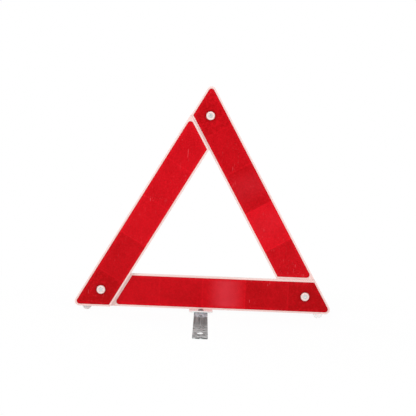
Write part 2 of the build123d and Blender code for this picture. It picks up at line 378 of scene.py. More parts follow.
def white_abs():
    """Satin white moulded plastic with smudges; red light from the plates tints the rims round them."""
    tree = Finish("white_abs")
    red_bounce = tree.attribute("red_bounce")
    cloud = tree.noise(tree.place(), 18, detail=4)
    grain = tree.noise(tree.place(), 2600, detail=2)
    smudge = tree.noise(tree.place(), 60, detail=5, distortion=0.6).ramp(0.45, 0.7)
    clean = tree.mix(cloud.ramp(0.35, 0.7), WHITE_CLEAN, WHITE_CLOUDED)
    dusty = tree.mix(smudge * 0.25, clean, WHITE_DUSTY)
    return tree.principled({
        # Painted red light from the plates on the rims and disc faces
        "Base Color": tree.mix(red_bounce * (0.7 + cloud * 0.4), dusty, WHITE_RED_BOUNCE),
        "Roughness": 0.34 + smudge * 0.16,
        "Specular IOR Level": 0.4,
        "Subsurface Weight": 0.08,
        "Subsurface Radius": (0.004, 0.003, 0.003),
        "Normal": tree.bump(grain, 0.00002, 0.5),
    })


def red_plate():
    """Clear red acrylic over moulded prisms: each block of prisms returns light differently."""
    tree = Finish("red_plate")
    returned_light = tree.attribute("returned_light")
    reflected_glare = tree.attribute("reflected_glare")
    along = tree.attribute("along")
    across = tree.attribute("across")
    far_edge = (pitch - along) * SLANT + across * 0.5 - half - CUT_RIM
    near_edge = along * SLANT + across * 0.5 + half - RIM
    edge = 1 - (half - RIM - across.size()).least(far_edge).least(near_edge).ramp(*LIT_EDGE)
    block = ((along - FIRST_SEAM) / BLOCK_LENGTH).fraction()
    hump = (block - 0.45).size().ramp(0.0, 0.48, 1.0, 0.0) * (1 - edge * 0.8)
    seam = (block - 0.5).size().ramp(0.47, 0.495)
    cloud = tree.noise(tree.place(), 45, detail=4, roughness=0.6)
    grain = tree.noise(tree.place(), 700, detail=2).ramp(0.3, 0.7, -0.09, 0.09)
    mottle = tree.noise(tree.place(), 330, detail=3).ramp(0.32, 0.68, -0.20, 0.20)
    mottle = mottle * along.ramp(*HEAD_MOTTLE, 0.75, 0.3)
    # Painted light that each prism block returns, with random cloud, grain and mottle and lighter seams
    light = returned_light + cloud.ramp(0.3, 0.7, -0.08, 0.08) + grain + mottle + seam * 0.16
    glow = tree.mix((light + edge * 0.30).clamped(), RED_DIM, RED_LIT)
    # Painted shade round the hole, where the plate has no prisms to return light
    hole_shade = 1 - ((along * along + across * across) ** 0.5).ramp(*HOLE_SHADE_RING)
    glow = tree.mix(hole_shade * 0.45, glow, RED_HOLE_SHADE)
    # Painted reflection of a bright patch, strongest in the middle of the blocks that have it
    with_glare = tree.mix(reflected_glare * hump * (0.6 + cloud * 0.8), glow, RED_GLARE)
    return tree.principled({
        "Base Color": tree.mix(scratches(tree) * 0.38, with_glare, RED_SCUFFED),
        "Roughness": 0.24 + cloud * 0.12,
        "Specular IOR Level": 0.05,
        "Coat Weight": 0.02,
        "Coat Roughness": 0.08,
    })


def scratches(tree):
    """Fine scuffs that lean two ways, in patches, with chafed specks between them."""
    marks = tree.noise(tree.place(), 620, detail=2).ramp(0.66, 0.74) * 0.6
    for turn, move in ((0.55, 0.0), (-0.9, 3.0)):
        grain = tree.place(scale=(800, 800, 110), turn=(0, turn, 0), move=(move, 0, move))
        marks = marks + tree.noise(grain, 1, detail=1).ramp(0.73, 0.79)
    patch = tree.noise(tree.place(move=(0.3, 0.1, 0.2)), 24, detail=2)
    return (marks * patch.ramp(0.51, 0.63)).clamped()


def zinc_strip(centre):
    """Galvanised rolled steel: streaked legs, scuffed ends, a cleaner middle, and bare punched hole walls
    with a painted highlight.
    """
    tree = Finish("zinc_strip")
    shift = (-centre, 0, 0)
    fine = tree.noise(tree.place(scale=(2100, 24, 1), move=shift), 1, detail=4, roughness=0.7)
    wide = tree.noise(tree.place(scale=(520, 9, 1), move=(3, 7, 0)), 1, detail=2)
    wave = tree.noise(tree.place(scale=(110, 420, 1)), 1, detail=4, roughness=0.65, distortion=2.2)
    across, along, _ = tree.axes(tree.place(move=shift))
    reach = along.size()
    clean = 1 - reach.ramp(*CLEAN_MIDDLE)
    scuffed = reach.ramp(*SCUFFED_ENDS)
    # Darker along the strip's long edges
    edge = across.size().ramp(*STRIP_EDGE_DARKENING)
    # Dark patches in the strip's middle
    dark_patches = tree.noise(tree.place(scale=(260, 420, 1), move=shift), 1, detail=2).ramp(0.52, 0.60)
    streak = fine.ramp(0.38, 0.64) * 0.6 + wide.ramp(0.40, 0.60) * 0.4
    leg = tree.mix(streak, LEG_DARK, LEG_LIGHT)
    scuff = tree.mix(wave.ramp(0.44, 0.57) * 0.8 + streak * 0.2, SCUFF_DARK, SCUFF_LIGHT)
    middle = tree.mix(dark_patches, tree.mix(streak, MIDDLE_DARK, MIDDLE_LIGHT), MIDDLE_DARK_PATCH)
    shade = tree.mix(clean, tree.mix(scuffed, leg, scuff), middle)
    # Bare punched steel on the peg holes' walls, with a painted highlight of the front light on it
    shade = tree.mix(tree.attribute("punched_highlight"), shade, PUNCHED_STEEL_HIGHLIGHT)
    return tree.principled({
        "Base Color": tree.mix(edge * 0.25, shade, EDGE_DARKENING),
        "Metallic": 0.25,
        "Specular IOR Level": 0.1,
        "Roughness": 0.58 + wave * 0.2,
        "Normal": tree.bump(fine * 0.6 + wave * 0.4, 0.00008, 0.7),
    })


def rivet_steel(name, centre):
    """Zinc-plated steel with turning marks about the rivet's own axis, which runs along y."""
    tree = Finish(name)
    x, _, z = tree.axes(tree.place(move=tuple(-c * MM for c in centre)))
    radius = (x * x + z * z) ** 0.5
    rings = tree.node("ShaderNodeTexNoise", {"noise_dimensions": "1D"},
                      {"W": radius * 5200, "Scale": 1, "Detail": 2}).value(0)
    dull = tree.noise(tree.place(), 500, detail=4)
    return tree.principled({
        "Base Color": tree.mix(rings * 0.6 + dull * 0.4, RIVET_DARK, RIVET_LIGHT),
        "Metallic": 1.0,
        "Roughness": 0.28 + dull * 0.22,
        "Normal": tree.bump(rings, 0.00002, 0.5),
    })


def stand_steel(centre):
    """Darker plated steel of the stand's rivet, with a painted highlight on top of its dome."""
    tree = Finish("stand_steel")
    x, y, _ = tree.axes(tree.place(move=tuple(-c * MM for c in centre)))
    radius = (x * x + y * y) ** 0.5
    dull = tree.noise(tree.place(), 700, detail=4, roughness=0.65)
    tarnish = tree.mix(dull.ramp(0.3, 0.7), TARNISH_DARK, TARNISH_LIGHT)
    return tree.principled({
        # Painted highlight on top of the dome
        "Base Color": tree.mix((1 - radius.ramp(*DOME_HIGHLIGHT_BAND)) * 0.5, tarnish, DOME_HIGHLIGHT),
        "Metallic": 0.9,
        "Roughness": 0.34 + dull * 0.25,
        "Normal": tree.bump(dull, 0.00004, 0.6),
    })


def milky_plastic():
    """Translucent plastic of the bracket and the feet, redder under the bottom arm's plate, where the
    plate's red light is painted on.
    """
    tree = Finish("milky_plastic")
    _, y, _ = tree.axes(tree.place())
    front, back = tray_low.y * MM, tray_high.y * MM
    # Painted red light from the bottom arm's plate on the part of the flange under it
    deep = y.ramp(*(front + place for place in BRACKET_RED_BOUNCE))
    red_bounce = tree.attribute("red_bounce") * deep * (1 - y.ramp(back - BRACKET_RED_BOUNCE_END, back))
    cloud = tree.noise(tree.place(), 120, detail=4)
    grain = tree.noise(tree.place(), 1800, detail=2)
    color = tree.mix(cloud.ramp(0.35, 0.7), MILKY_CLEAR, MILKY_CLOUDED)
    return tree.principled({
        "Base Color": tree.mix(red_bounce * (0.7 + cloud * 0.4), color, MILKY_RED_BOUNCE),
        "Roughness": 0.42 + cloud * 0.1,
        "Subsurface Weight": 0.25,
        "Subsurface Radius": (0.004, 0.002, 0.002),
        "Normal": tree.bump(grain, 0.00002, 0.5),
    })


# -------------------- places from the frame

hinges = {joint["name"]: Vector(joint["pos_m"]) / MM for joint in frame["joints"]}
left_pivot = hinges["left_arm_fold"]
right_pivot = hinges["right_arm_fold"]
pitch = right_pivot.x - left_pivot.x
tray_low, tray_high = (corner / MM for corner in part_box("bottom_arm_frame"))
half = (tray_high.z - tray_low.z) / 2
thickness = tray_high.y - tray_low.y
apex = Vector((0, 0, right_pivot.z + pitch * sqrt(3) / 2))


def arm_matrix(node, pivot, direction):
    """From an arm's own frame to the object's, in millimetres."""
    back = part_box(node)[1].y / MM
    along = Vector((cos(radians(direction)), 0, sin(radians(direction))))
    front = Vector((0, -1, 0))
    out = front.cross(along)
    matrix = Matrix((along, out, front)).transposed().to_4x4()
    matrix.translation = Vector((pivot.x, back, pivot.z))
    return matrix


ARMS = {
    "bottom": arm_matrix("bottom_arm_frame", right_pivot, 180),
    "left": arm_matrix("left_arm_frame", left_pivot, 60),
    "right": arm_matrix("right_arm_frame", apex, -60),
}


# -------------------- mesh makers

def rounded_polygon(corners, radii, steps=8):
    """Points of a convex polygon, listed anticlockwise, with each corner rounded."""
    points = []
    for index, corner in enumerate(corners):
        here = Vector(corner)
        before = (Vector(corners[index - 1]) - here).normalized()
        after = (Vector(corners[(index + 1) % len(corners)]) - here).normalized()
        opening = before.angle(after)
        radius = max(radii[index], LEAST_RADIUS)
        centre = here + (before + after).normalized() * radius / sin(opening / 2)
        start = here + before * radius / tan(opening / 2) - centre
        turn = (pi - opening) / steps
        for step in range(steps + 1):
            swung = Matrix.Rotation(turn * step, 2) @ start
            points.append(centre + swung)
    return points


def bar_corners(half_width, end):
    """Corners of an arm's outline; end is the far edge's distance from the far pivot."""
    return [
        (-half_width / sqrt(3), -half_width),
        (pitch + (end - half_width / 2) / SLANT, -half_width),
        (pitch + (end + half_width / 2) / SLANT, half_width),
        (-half_width * sqrt(3), half_width),
    ]


def loft(rings, name):
    """Closed mesh through rings that all have as many points, with a flat face at each end."""
    grid = bmesh.new()
    loops = [[grid.verts.new(point) for point in ring] for ring in rings]
    for low, high in zip(loops, loops[1:]):
        for index in range(len(low)):
            after = (index + 1) % len(low)
            grid.faces.new((low[index], low[after], high[after], high[index]))
    grid.faces.new(reversed(loops[0]))
    grid.faces.new(loops[-1])
    return to_mesh(grid, name)


def to_mesh(grid, name):
    """Merges doubles, turns faces outwards and stores the mesh, still in millimetres."""
    bmesh.ops.remove_doubles(grid, verts=grid.verts, dist=MERGE_DISTANCE)
    bmesh.ops.dissolve_degenerate(grid, edges=grid.edges, dist=SLIVER_LENGTH)
    bmesh.ops.recalc_face_normals(grid, faces=grid.faces)
    mesh = bpy.data.meshes.new(name)
    grid.to_mesh(mesh)
    grid.free()
    return mesh


def quarter(radius, steps=3):
    """Offsets of a rounded edge: (inset, drop) pairs from the side to the face."""
    angles = [pi / 2 * step / steps for step in range(steps + 1)]
    return [(radius * (1 - cos(angle)), radius * (1 - sin(angle))) for angle in angles]


def shoulder(radius, z, size, inward=-1, down=-1):
    """Profile points of a rounded edge, from the side to the face."""
    return [(radius + inward * inset, z + down * drop) for inset, drop in quarter(size)]


def turned(profile, name, x=0.0, y=0.0, segments=72):
    """Solid of revolution about z: (radius, z) points from axis to axis, or round a ring's section."""
    if profile[0][0] > 0:
        profile = profile + profile[:1]
    grid = bmesh.new()
    angles = [2 * pi * index / segments for index in range(segments)]
    rings = []
    for radius, z in profile:
        if radius == 0:
            rings.append([grid.verts.new((x, y, z))] * segments)
        else:
            rings.append([grid.verts.new((x + radius * cos(a), y + radius * sin(a), z)) for a in angles])
    for low, high in zip(rings, rings[1:]):
        for index in range(segments):
            after = (index + 1) % segments
            corners = dict.fromkeys((low[index], low[after], high[after], high[index]))
            if len(corners) > 2:
                grid.faces.new(tuple(corners))
    return to_mesh(grid, name)


def drill(radius, low, high, x=0.0, y=0.0, chamfer=HOLE_CHAMFER):
    """Cutter of a through hole with a chamfer at both mouths."""
    wide = radius + chamfer + CUT_SPARE
    profile = [(0, low - CUT_SPARE), (wide, low - CUT_SPARE), (radius, low + chamfer),
               (radius, high - chamfer), (wide, high + CUT_SPARE), (0, high + CUT_SPARE)]
    return turned(profile, "drill", x, y)


def counterbored(radius, wide, depth, high, x):
    """Cutter of a through hole with a wide recess round it in the back face."""
    spare = HOLE_CHAMFER + CUT_SPARE
    profile = [(0, -CUT_SPARE), (wide + spare, -CUT_SPARE), (wide, HOLE_CHAMFER), (wide, depth),
               (radius, depth), (radius, high - HOLE_CHAMFER), (radius + spare, high + CUT_SPARE),
               (0, high + CUT_SPARE)]
    return turned(profile, "counterbore", x)


def sunk(radius, depth, x):
    """Cutter of a round recess in a back face, flared where it stands past the face."""
    profile = [(0, -CUT_SPARE), (radius + CUT_SPARE, -CUT_SPARE), (radius, 0), (radius, depth), (0, depth)]
    return turned(profile, "recess", x)


def joined(mesh, tools, name, operation="DIFFERENCE"):
    """Mesh with other meshes taken away from it, or added to it."""
    body = bpy.data.objects.new(name, mesh)
    bpy.context.scene.collection.objects.link(body)
    helpers = []
    for index, tool in enumerate(tools):
        helper = bpy.data.objects.new(f"{name}_tool_{index}", tool)
        bpy.context.scene.collection.objects.link(helper)
        helpers.append(helper)
        boolean = body.modifiers.new("boolean", "BOOLEAN")
        boolean.operation = operation
        boolean.solver = "EXACT"
        boolean.object = helper
    grid = bmesh.new()
    grid.from_mesh(evaluated(body))
    for spare in helpers + [body]:
        bpy.data.objects.remove(spare)
    return to_mesh(grid, name)


def evaluated(body):
    """Plain mesh of an object with its modifiers applied."""
    graph = bpy.context.evaluated_depsgraph_get()
    return bpy.data.meshes.new_from_object(body.evaluated_get(graph), depsgraph=graph)


def place_piece(name, mesh, matrix, body, material, nodes=(), smooth=35):
    """Puts a mesh made in millimetres in its place, with its normals, finish and body."""
    mesh.transform(Matrix.Scale(MM, 4) @ matrix)
    mesh.name = name
    mesh.materials.clear()
    mesh.materials.append(material)
    piece = bpy.data.objects.new(name, mesh)
    bpy.context.scene.collection.objects.link(piece)
    mesh.shade_smooth()
    mesh.set_sharp_from_angle(angle=radians(smooth))
    weighted = piece.modifiers.new("weighted", "WEIGHTED_NORMAL")
    weighted.keep_sharp = True
    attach(piece, body)
    if nodes:
        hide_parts(*nodes)


# -------------------- trays

def tray_mesh(name, has_tongue):
    """White tray: rounded outer edges, a rim, and a pocket for the plate."""
    end = half - TONGUE_INSET if has_tongue else -(half + OPEN_END_GAP)
    end_radius = TONGUE_RADIUS if has_tongue else SHARP_RADIUS
    radii = [SHARP_RADIUS, SHARP_RADIUS, end_radius, TIP_RADIUS]

    def outer(inset, z):
        corners = bar_corners(half - inset, end - inset)
        return [(x, y, z) for x, y in rounded_polygon(corners, [r - inset for r in radii])]

    def pocket(inset, z):
        corners = bar_corners(half - RIM - inset, -(half + CUT_RIM) - inset)
        tip = PLATE_TIP_RADIUS - inset
        return [(x, y, z) for x, y in rounded_polygon(corners, [SHARP_RADIUS, SHARP_RADIUS, tip, tip])]

    back_edge = [outer(inset, drop) for inset, drop in reversed(quarter(BACK_EDGE))]
    front_edge = [outer(inset, thickness - drop) for inset, drop in quarter(FRONT_EDGE, 4)]
    lip = [pocket(inset - LIP_EDGE, thickness - drop) for inset, drop in reversed(quarter(LIP_EDGE))]
    return loft(back_edge + front_edge + lip + [pocket(0, FLOOR)], name)


def panel_cutters():
    """Shallow panels along an arm's back, each with two ejector marks in its floor."""
    end = pitch - half - CUT_RIM - PANEL_MARGIN
    step = (end - PANEL_START + PANEL_RIB) / PANELS
    side = half - PANEL_MARGIN
    cutters = []
    for index in range(PANELS):
        low = PANEL_START + index * step
        high = low + step - PANEL_RIB

        def ring(grow, z):
            corners = [(low - grow, -side - grow), (high + grow, -side - grow),
                       (high + grow, side + grow), (low - grow, side + grow)]
            return [(x, y, z) for x, y in rounded_polygon(corners, [PANEL_RADIUS + grow] * 4)]

        levels = [ring(CUT_SPARE, -CUT_SPARE), ring(0, 0), ring(-PANEL_DRAFT, PANEL_DEPTH)]
        cutters.append(loft(levels, "panel"))
        for share in EJECTOR_SHARES:
            mark = low + (high - low) * share
            cutters.append(sunk(EJECTOR_RADIUS, PANEL_DEPTH + EJECTOR_DEPTH, mark))
    return cutters


def bracket_seat():
    """Recess in the bottom arm's back for the bracket's tab, with two stakes left standing."""
    low, high = (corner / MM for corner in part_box("stand_bracket"))
    near = pitch / 2 - high.x - SEAT_FIT
    far = pitch / 2 - low.x + SEAT_FIT
    height = high.z - tray_low.z
    inner, outer = half - height - SEAT_FIT, half + CUT_SPARE
    block = loft([[(near, inner, z), (far, inner, z), (far, outer, z), (near, outer, z)]
                  for z in (-CUT_SPARE, TAB_THICKNESS)], "seat")
    stake_end = TAB_THICKNESS + CUT_SPARE
    profile = [(0, 0), (STAKE_RADIUS, 0), (STAKE_RADIUS, stake_end), (0, stake_end)]
    places = [(near + far) / 2 + side * STAKE_SPACING / 2 for side in (-1, 1)]
    stakes = [turned(profile, "stake", x, half - height / 2, segments=32) for x in places]
    return joined(block, stakes, "seat")


def make_trays(material):
    """The three trays, with the holes, recesses and panels of their backs."""
    for arm, matrix in ARMS.items():
        cutters = panel_cutters()
        cutters.append(drill(BARREL_RADIUS + SEAT_FIT, 0, FLOOR))
        if arm != "left":
            cutters.append(counterbored(TONGUE_HOLE_RADIUS, WASHER_RECESS_RADIUS, WASHER_RECESS_DEPTH,
                                        thickness, pitch))
        if arm == "bottom":
            cutters.append(bracket_seat())
        tray = joined(tray_mesh(f"{arm}_tray", arm != "left"), cutters, f"{arm}_tray")
        # Painted red light from the plate, stronger towards the tray's front
        store(tray, "red_bounce", "POINT", [vertex.co.z / thickness for vertex in tray.vertices])
        place_piece(f"{arm}_tray", tray, matrix, f"{arm}_arm", material,
                    [f"{arm}_arm_frame"])


# -------------------- reflectors

def plate_mesh(name):
    """Red plate: rounded front edge, a border, a groove, and the field that the prisms stand on."""
    def ring(inset, z):
        half_width = half - RIM - PLATE_CLEARANCE - inset
        corners = bar_corners(half_width, -(half + CUT_RIM) - PLATE_CLEARANCE - inset)
        tip = PLATE_TIP_RADIUS - inset
        return [(x, y, z) for x, y in rounded_polygon(corners, [SHARP_RADIUS, SHARP_RADIUS, tip, tip])]

    top = FLOOR + PLATE_THICKNESS
    edge = [ring(inset, top - drop) for inset, drop in quarter(PLATE_EDGE, 4)]
    far = BORDER + GROOVE_WIDTH
    groove = [ring(BORDER, top), ring(BORDER + GROOVE_DRAFT, top - GROOVE_DEPTH),
              ring(far - GROOVE_DRAFT, top - GROOVE_DEPTH), ring(far, top - CELL_SINK)]
    plate = loft([ring(0, FLOOR)] + edge + groove, name)
    plate = joined(plate, [drill(PLATE_HOLE_RADIUS, FLOOR, top)], name)
    grid = bmesh.new()
    grid.from_mesh(plate)
    for block in range(BLOCKS - 1):
        seam = (FIRST_SEAM + block * BLOCK_LENGTH, 0, 0)
        everything = grid.verts[:] + grid.edges[:] + grid.faces[:]
        bmesh.ops.bisect_plane(grid, geom=everything, plane_co=seam, plane_no=(1, 0, 0))
    return to_mesh(grid, name)


def block_of(x):
    """Number of the prism block at a place along an arm."""
    return max(0, int((x - FIRST_SEAM) // BLOCK_LENGTH) + 1)


def cell_centres():
    """Centres of the triangular prisms inside the plate's border, block seams and hole."""
    row = CELL_SIDE * sqrt(3) / 2
    limit = half - RIM - FIELD_MARGIN
    end = -(half + CUT_RIM + FIELD_MARGIN)
    hole = PLATE_HOLE_RADIUS + FIELD_HOLE_MARGIN + CELL_SIDE / sqrt(3) / 2
    cells = []
    count = int(2 * pitch / CELL_SIDE)
    rows = int(limit / row) + 1
    for line in range(-rows, rows):
        for step in range(-int(4 * half / CELL_SIDE), count):
            x = step * CELL_SIDE / 2
            points_up = (step + line) % 2 == 0
            y = (line + (1 / 3 if points_up else 2 / 3)) * row
            far = (x - pitch) * SLANT - y / 2
            near = -x * SLANT - y / 2
            seam = (x - FIRST_SEAM) % BLOCK_LENGTH
            clear_of_seam = min(seam, BLOCK_LENGTH - seam) > CELL_SIDE / 2 + SEAM_WIDTH / 2
            inside = max(abs(y), near) + row / 3 < limit and far + row / 3 < end
            if inside and clear_of_seam and hypot(x, y) > hole:
                cells.append((x, y, points_up, block_of(x)))
    return cells


def new_size(group, name, value):
    """Adds a named size to a group's inputs and returns the socket's identifier."""
    socket = group.interface.new_socket(name=name, in_out="INPUT", socket_type="NodeSocketFloat")
    socket.default_value = value
    return socket.identifier


def prism_group(material):
    """Geometry nodes that stand a three-sided prism on every point of the field."""
    group = bpy.data.node_groups.new("prism_field", "GeometryNodeTree")
    for direction in ("INPUT", "OUTPUT"):
        group.interface.new_socket(name="Geometry", in_out=direction, socket_type="NodeSocketGeometry")
    sizes = {
        "side": new_size(group, "Cell side", CELL_SIDE),
        "depth": new_size(group, "Cell depth", CELL_DEPTH),
    }
    tree = Tree(group)
    entry = tree.node("NodeGroupInput")
    prism = tree.node("GeometryNodeMeshCone", {"fill_type": "NGON"}, {
        "Vertices": 3,
        "Radius Top": 0,
        "Radius Bottom": entry.value("Cell side") / sqrt(3),
        "Depth": entry.value("Cell depth"),
    })
    turn, scale = (
        tree.node("GeometryNodeInputNamedAttribute", {"data_type": "FLOAT_VECTOR"}, {"Name": name}).value(0)
        for name in ("turn", "size"))
    spread = tree.node("GeometryNodeInstanceOnPoints", {}, {
        "Points": entry.value("Geometry"),
        "Instance": prism.value("Mesh"),
        "Rotation": turn,
        "Scale": scale,
    })
    field = tree.node("GeometryNodeRealizeInstances", {}, {0: spread.value(0)})
    painted = tree.node("GeometryNodeSetMaterial", {}, {0: field.value(0), "Material": material})
    tree.node("NodeGroupOutput", {}, {0: painted.value(0)})
    return group, sizes


# How strongly each prism block lights up, from the head to the cut end, and how strongly a painted
# reflection shows on it
BLOCK_LIGHT = {
    "bottom": ((0.02, 0.14, 0.40, 0.31, 0.32), (0.0, 0.0, 0.66, 0.0, 0.0)),
    "left": ((0.09, 0.26, 0.46, 0.44, 0.42), (0.0, 0.0, 0.0, 0.0, 0.0)),
    "right": ((0.24, 0.29, 0.26, 0.61, 0.28), (0.0, 0.0, 0.16, 0.1, 0.0)),
}


def store(mesh, name, domain, values):
    """Writes one number for each point or face of a mesh."""
    attribute = mesh.attributes.new(name, "FLOAT", domain)
    attribute.data.foreach_set("value", values)


def store_light(mesh, arm):
    """Writes each face's painted block light and painted reflection, and each point's place along and
    across the arm.
    """
    returned_lights, reflected_glares = BLOCK_LIGHT[arm]
    blocks = [min(block_of(face.center.x), BLOCKS - 1) for face in mesh.polygons]
    store(mesh, "returned_light", "FACE", [returned_lights[block] for block in blocks])
    store(mesh, "reflected_glare", "FACE", [reflected_glares[block] for block in blocks])
    store(mesh, "along", "POINT", [vertex.co.x for vertex in mesh.vertices])
    store(mesh, "across", "POINT", [vertex.co.y for vertex in mesh.vertices])


def prism_mesh(name, group, sizes):
    """Field of prisms in an arm's own frame."""
    cells = cell_centres()
    points = bpy.data.meshes.new(name + "_points")
    top = FLOOR + PLATE_THICKNESS - CELL_SINK
    points.from_pydata([(x, y, top) for x, y, *_ in cells], [], [])
    turn = points.attributes.new("turn", "FLOAT_VECTOR", "POINT")
    size = points.attributes.new("size", "FLOAT_VECTOR", "POINT")
    for index, (*_, points_up, block) in enumerate(cells):
        turn.data[index].vector = (0, 0, radians(90 if points_up else 30))
        size.data[index].vector = (CELL_SPREAD, CELL_SPREAD, 1.0 if block % 2 else LOW_CELL_SHARE)
    field = bpy.data.objects.new(name, points)
    bpy.context.scene.collection.objects.link(field)
    modifier = field.modifiers.new("prisms", "NODES")
    modifier.node_group = group
    modifier[sizes["side"]] = CELL_SIDE
    modifier[sizes["depth"]] = CELL_DEPTH
    mesh = evaluated(field)
    bpy.data.objects.remove(field)
    return mesh


def make_reflectors(material):
    """The three plates and their fields of prisms."""
    group, sizes = prism_group(material)
    for arm, matrix in ARMS.items():
        plate = plate_mesh(f"{arm}_plate")
        field = prism_mesh(f"{arm}_prisms", group, sizes)
        for name, mesh, nodes in (("plate", plate, [f"{arm}_reflector"]), ("prisms", field, [])):
            store_light(mesh, arm)
            place_piece(f"{arm}_{name}", mesh, matrix, f"{arm}_arm", material, nodes,
                        smooth=25)


# -------------------- pivots

def disc_profile(barrel_end):
    """Section of a pivot disc, with its barrel through the tray's floor and its stepped bore."""
    bore = SHANK_RADIUS + SEAT_FIT
    seat = HEAD_RADIUS + SEAT_FIT
    seat_floor = DISC_TOP - HEAD_SINK - HEAD_HEIGHT
    return ([(bore, barrel_end), (bore, seat_floor), (seat, seat_floor)]
            + shoulder(seat, DISC_TOP, SMALL_EDGE, inward=1)
            + shoulder(DISC_RADIUS, DISC_TOP, DISC_EDGE)[::-1]
            + [(DISC_RADIUS, FLOOR), (BARREL_RADIUS, FLOOR), (BARREL_RADIUS, barrel_end)])


def paint_red_bounce(disc):
    """Writes how much of the plate's red light reaches each point of a disc's face."""
    store(disc, "red_bounce", "POINT", [hypot(point.co.x, point.co.y) / DISC_RADIUS * (point.co.z > 0)
                                  for point in disc.vertices])


def head_profile():
    """Section of a rivet's head, from under it over its rounded rim to its hollow middle."""
    top = DISC_TOP - HEAD_SINK
    return ([(SHANK_RADIUS, top - HEAD_HEIGHT), (HEAD_RADIUS, top - HEAD_HEIGHT)]
            + shoulder(HEAD_RADIUS, top, HEAD_HEIGHT / 3)
            + shoulder(DIMPLE_RADIUS, top, SMALL_EDGE, inward=1)[::-1]
            + [(DIMPLE_RADIUS * DIMPLE_FLOOR_SHARE, top - DIMPLE_DEPTH), (0, top - DIMPLE_DEPTH)])


def clinch_profile(end):
    """Section of a rivet's spread end, from its hollow middle to its shank."""
    return ([(0, end + CLINCH_HOLLOW_DEPTH), (CLINCH_HOLLOW_RADIUS, end + CLINCH_HOLLOW_DEPTH)]
            + shoulder(CLINCH_MOUTH_RADIUS, end, SMALL_EDGE, inward=1, down=1)
            + shoulder(CLINCH_RADIUS, end, CLINCH_HEIGHT / 2, down=1)[::-1]
            + [(CLINCH_RADIUS, end + CLINCH_HEIGHT), (SHANK_RADIUS, end + CLINCH_HEIGHT)])


def ring_profile(inner, outer, low, high):
    """Section of a flat washer with rounded edges."""
    return (shoulder(inner, low, WASHER_EDGE, inward=1, down=1)
            + shoulder(outer, low, WASHER_EDGE, down=1)[::-1]
            + shoulder(outer, high, WASHER_EDGE)
            + shoulder(inner, high, WASHER_EDGE, inward=1)[::-1])


def make_pivots(plastic):
    """Discs, rivets and washers of the two hinges, each riding with the arm whose head it is in."""
    for side, arm in (("left", "left"), ("right", "bottom")):
        matrix = ARMS[arm]
        back = matrix.translation.y
        steel = rivet_steel(f"{side}_rivet_steel", matrix.translation)
        washer_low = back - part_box(f"{side}_pivot_washer")[1].y / MM
        washer_high = washer_low + WASHER_THICKNESS
        disc = turned(disc_profile(washer_high), "disc")
        paint_red_bounce(disc)
        rivet = turned(clinch_profile(washer_low - CLINCH_HEIGHT) + head_profile(), "rivet")
        washer = ring_profile(SHANK_RADIUS + SEAT_FIT, WASHER_RADIUS, washer_low, washer_high)
        for name, mesh, slot, material in (("disc", disc, "white_plastic", plastic),
                                           ("rivet", rivet, "rivet_steel", steel),
                                           ("washer", turned(washer, "washer"), "rivet_steel", steel)):
            place_piece(f"{side}_{name}", mesh, matrix, f"{arm}_arm", material,
                        [f"{side}_pivot_{name}"])


def make_snap(plastic):
    """Disc of the top corner, whose slit barb stands out behind the arm, and its rivet."""
    matrix = ARMS["right"]
    back = matrix.translation.y
    barb_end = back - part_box("top_snap_stud")[1].y / MM
    barb_start = barb_end + BARB_LENGTH
    bore = SHANK_RADIUS + SEAT_FIT
    profile = disc_profile(barb_end)[:-1]
    profile += ([(BARREL_RADIUS, barb_start)] + shoulder(BARB_RADIUS, barb_start, SMALL_EDGE)[::-1]
                + shoulder(BARB_TIP_RADIUS, barb_end, BARB_TIP_EDGE, down=1)
                + [(bore + BARB_BORE_CHAMFER, barb_end), (bore, barb_end + BARB_BORE_CHAMFER)])
    profile[0] = (bore, barb_end + 2 * BARB_BORE_CHAMFER)
    long, wide = 2 * BARB_RADIUS, SNAP_SLOT / 2
    corners = [(-long, -wide), (long, -wide), (long, wide), (-long, wide)]
    levels = (barb_end - CUT_SPARE, SNAP_SLOT_ROOT)
    slot = loft([[(x, y, z) for x, y in corners] for z in levels], "slot")
    stud = joined(turned(profile, "stud"), [slot], "stud")
    paint_red_bounce(stud)
    place_piece("top_stud", stud, matrix, "right_arm", plastic, ["top_snap_stud"])
    shank_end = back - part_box("top_stud_rivet")[1].y / MM
    end = [(0, shank_end)] + shoulder(SHANK_RADIUS, shank_end, SNAP_RIVET_EDGE, down=1)[::-1]
    rivet = turned(end + head_profile(), "rivet")
    steel = rivet_steel("top_rivet_steel", matrix.translation)
    place_piece("top_rivet", rivet, matrix, "right_arm", steel, ["top_stud_rivet"])


# -------------------- stand and feet

def make_feet(material):
    """Half-round feet with rounded rims, under the ends of the bottom arm."""
    for side in ("left", "right"):
        low, high = (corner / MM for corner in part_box(f"{side}_foot"))
        middle = (low.x + high.x) / 2
        radius = (high.x - low.x) / 2
        top = tray_low.z

        def ring(inset, y):
            angles = [pi + pi * step / FOOT_STEPS for step in range(FOOT_STEPS + 1)]
            wide, deep = radius - inset, top - low.z - inset
            return [(middle + wide * cos(a), y, top + deep * sin(a)) for a in angles]

        edge = quarter(FOOT_EDGE, 4)
        rings = [ring(inset, low.y + drop) for inset, drop in reversed(edge)]
        rings += [ring(inset, high.y - drop) for inset, drop in edge]
        place_piece(f"foot_{side}", loft(rings, "foot"), Matrix(), "bottom_arm", material,
                    [f"{side}_foot"])


